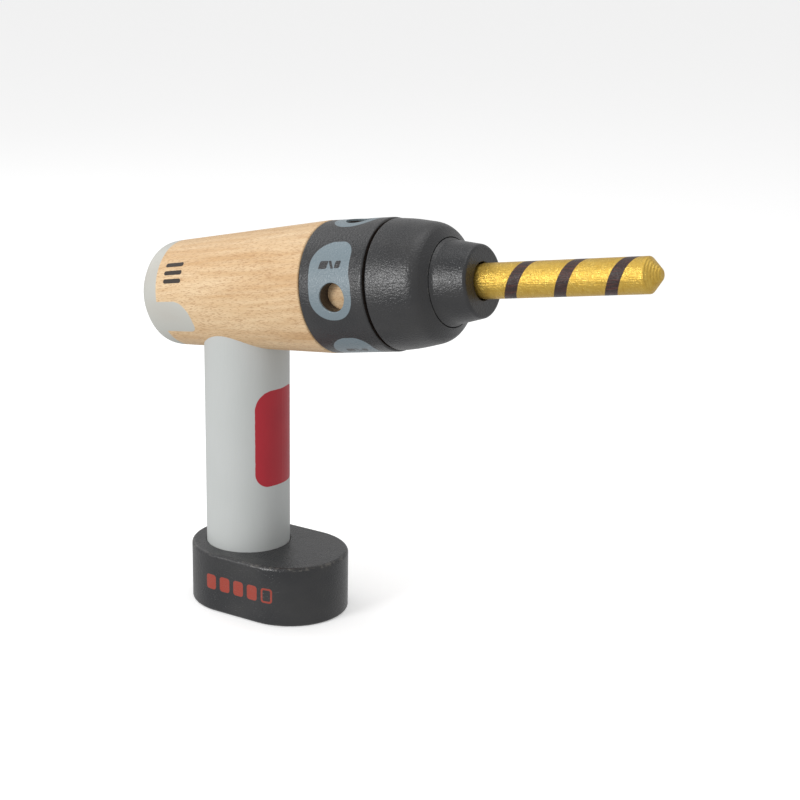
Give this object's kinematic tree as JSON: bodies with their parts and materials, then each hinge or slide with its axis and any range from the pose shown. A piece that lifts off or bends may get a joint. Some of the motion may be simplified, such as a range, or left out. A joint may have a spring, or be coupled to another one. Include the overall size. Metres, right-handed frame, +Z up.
{
  "type": "toy power drill",
  "caption": "Wooden toy power drill with a round pistol handle on a battery-shaped base, a windowed selector ring, a turning chuck and a pull-out striped bit.",
  "frame": {"origin": "centre of the base's underside, on the floor", "axes": "+X from the handle towards the bit, +Z up; the drill axis lies in the XZ plane and rises 9.6 degrees towards +X"},
  "size_m": [0.2285, 0.0522, 0.171],
  "materials": {
    "beech": "oiled, open grain",
    "grey_paint": "wood under satin water-based paint",
    "black_paint": "wood under semi-gloss black paint",
    "gold_paint": "wood under metallic gold paint with a dark printed helix",
    "dowel_wood": "plain sanded",
    "zinc_steel": "bright zinc",
    "brass": "machined",
    "black_fibre": "matt",
    "rubber": "matt",
    "nylon": "matt",
    "magnet_plate": "nickel plated"
  },
  "bodies": {
    "housing": {"barrel": "beech", "handle": "grey_paint", "barrel_dowel": "dowel_wood", "battery_base": "black_paint", "base_plug": "dowel_wood", "base_screw": "zinc_steel", "base_washer": "zinc_steel", "handle_insert": "brass", "tenon_insert": "brass", "axle_screw": "zinc_steel", "axle_washer": "zinc_steel", "thrust_washer": "black_fibre", "drag_ring": "rubber"},
    "ring": {"selector_ring": "black_paint"},
    "chuck": {"chuck_sleeve": "black_paint", "chuck_bush": "nylon", "chuck_nose": "black_paint", "bit_magnet": "magnet_plate"},
    "bit": {"drill_bit": "gold_paint", "bit_plate": "zinc_steel"}
  },
  "joints": [
    {"name": "ring_turn", "type": "hinge", "parent": "housing", "child": "ring", "pos_m": [0.04845, 0, 0.14277], "axis": [0.986, 0, 0.1668], "continuous": true},
    {"name": "chuck_turn", "type": "hinge", "parent": "housing", "child": "chuck", "pos_m": [0.0737, 0, 0.14704], "axis": [0.986, 0, 0.1668], "continuous": true},
    {"name": "bit_pull", "type": "slide", "parent": "chuck", "child": "bit", "axis": [0.986, 0, 0.1668], "range_m": [0, 0.03]}
  ]
}
